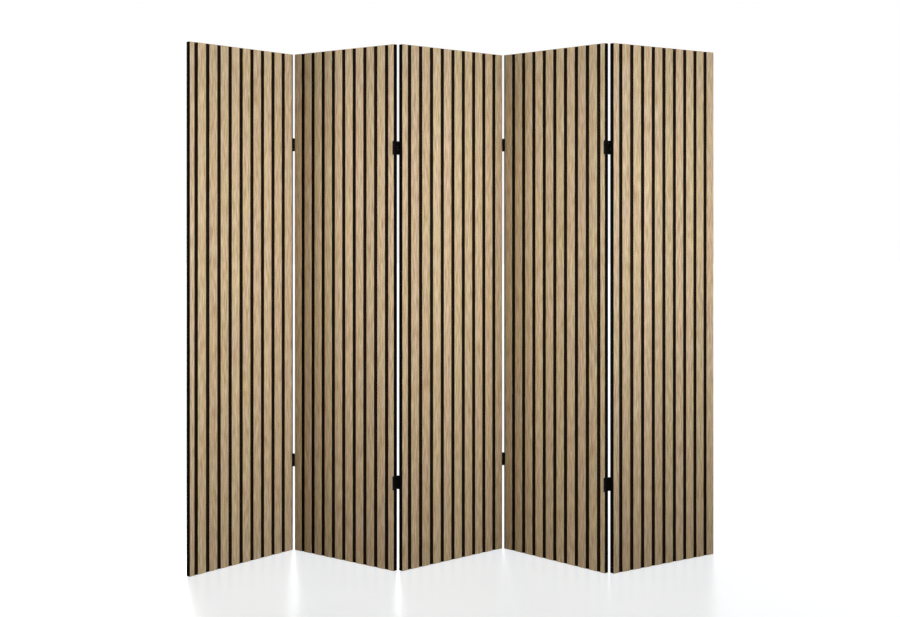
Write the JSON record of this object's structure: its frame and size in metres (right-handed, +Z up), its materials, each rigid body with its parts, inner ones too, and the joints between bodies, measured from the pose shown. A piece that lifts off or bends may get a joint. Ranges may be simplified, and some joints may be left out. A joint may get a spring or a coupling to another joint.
{
  "type": "folding slat room divider",
  "caption": "Free-standing folding screen: tall panels with upright oak-faced slats over black boards, joined by hinges that fold either way into a zigzag or a flat stack.",
  "frame": {"origin": "on the floor under the middle of the third panel", "axes": "+X along the standing screen to the viewer's right, +Y away from the viewer of the pictured side, +Z up"},
  "size_m": [1.7523, 0.3824, 1.72],
  "materials": {
    "oak_veneer": "light oak veneer with straight upright grain, matt lacquer",
    "black_slat": "black-dyed fibreboard core, matt black edges",
    "black_board": "matt black backing board",
    "black_frame": "softwood painted matt black",
    "black_hinge": "black powder-coated steel, slightly worn at the knuckles",
    "hinge_pin": "black steel pin with riveted heads"
  },
  "bodies": {
    "panel_3": {"panel_3_stiles": "black_frame", "panel_3_rails": "black_frame", "panel_3_front_board": "black_board", "panel_3_rear_board": "black_board", "panel_3_front_slats": "black_slat", "panel_3_rear_slats": "black_slat", "panel_3_front_veneers": "oak_veneer", "panel_3_rear_veneers": "oak_veneer", "panel_3_hinge_leaves": "black_hinge", "panel_3_hinge_screws": "black_hinge"},
    "panel_4": {"panel_4_stiles": "black_frame", "panel_4_rails": "black_frame", "panel_4_front_board": "black_board", "panel_4_rear_board": "black_board", "panel_4_front_slats": "black_slat", "panel_4_rear_slats": "black_slat", "panel_4_front_veneers": "oak_veneer", "panel_4_rear_veneers": "oak_veneer", "panel_4_hinge_leaves": "black_hinge", "panel_4_hinge_screws": "black_hinge", "panel_4_edge_strips": "black_slat"},
    "panel_5": {"panel_5_stiles": "black_frame", "panel_5_rails": "black_frame", "panel_5_front_board": "black_board", "panel_5_rear_board": "black_board", "panel_5_front_slats": "black_slat", "panel_5_rear_slats": "black_slat", "panel_5_front_veneers": "oak_veneer", "panel_5_rear_veneers": "oak_veneer", "panel_5_hinge_leaves": "black_hinge", "panel_5_hinge_screws": "black_hinge"},
    "panel_2": {"panel_2_stiles": "black_frame", "panel_2_rails": "black_frame", "panel_2_front_board": "black_board", "panel_2_rear_board": "black_board", "panel_2_front_slats": "black_slat", "panel_2_rear_slats": "black_slat", "panel_2_front_veneers": "oak_veneer", "panel_2_rear_veneers": "oak_veneer", "panel_2_hinge_leaves": "black_hinge", "panel_2_hinge_screws": "black_hinge"},
    "panel_1": {"panel_1_stiles": "black_frame", "panel_1_rails": "black_frame", "panel_1_front_board": "black_board", "panel_1_rear_board": "black_board", "panel_1_front_slats": "black_slat", "panel_1_rear_slats": "black_slat", "panel_1_front_veneers": "oak_veneer", "panel_1_rear_veneers": "oak_veneer", "panel_1_hinge_leaves": "black_hinge", "panel_1_hinge_screws": "black_hinge", "panel_1_edge_strips": "black_slat"},
    "link_34": {"seam_34_middle_leaves": "black_hinge", "seam_34_hinge_pins": "hinge_pin"},
    "link_45": {"seam_45_middle_leaves": "black_hinge", "seam_45_hinge_pins": "hinge_pin"},
    "link_23": {"seam_23_middle_leaves": "black_hinge", "seam_23_hinge_pins": "hinge_pin"},
    "link_12": {"seam_12_middle_leaves": "black_hinge", "seam_12_hinge_pins": "hinge_pin"}
  },
  "joints": [
    {"name": "seam_34_front_pivot", "type": "hinge", "parent": "panel_3", "child": "link_34", "pos_m": [0.17721, 0.14123, 0.86], "axis": [0, 0, -1], "range_deg": [-87.5, 90.5]},
    {"name": "seam_34_rear_pivot", "type": "hinge", "parent": "link_34", "child": "panel_4", "pos_m": [0.19494, 0.1564, 0.86], "axis": [0, 0, -1], "range_deg": [-170, 0]},
    {"name": "seam_45_front_pivot", "type": "hinge", "parent": "panel_4", "child": "link_45", "pos_m": [0.49258, -0.18535, 0.86], "axis": [0, 0, 1], "range_deg": [-170, 0]},
    {"name": "seam_45_rear_pivot", "type": "hinge", "parent": "link_45", "child": "panel_5", "pos_m": [0.51031, -0.17018, 0.86], "axis": [0, 0, 1], "range_deg": [-80, 98]},
    {"name": "seam_23_rear_pivot", "type": "hinge", "parent": "panel_3", "child": "link_23", "pos_m": [-0.17721, -0.14123, 0.86], "axis": [0, 0, -1], "range_deg": [-79.5, 98.5]},
    {"name": "seam_23_front_pivot", "type": "hinge", "parent": "link_23", "child": "panel_2", "pos_m": [-0.19265, -0.15872, 0.86], "axis": [0, 0, -1], "range_deg": [-170, 0]},
    {"name": "seam_12_rear_pivot", "type": "hinge", "parent": "panel_2", "child": "link_12", "pos_m": [-0.53496, 0.13828, 0.86], "axis": [0, 0, 1], "range_deg": [-170, 0]},
    {"name": "seam_12_front_pivot", "type": "hinge", "parent": "link_12", "child": "panel_1", "pos_m": [-0.55041, 0.12079, 0.86], "axis": [0, 0, 1], "range_deg": [-88, 90]}
  ]
}
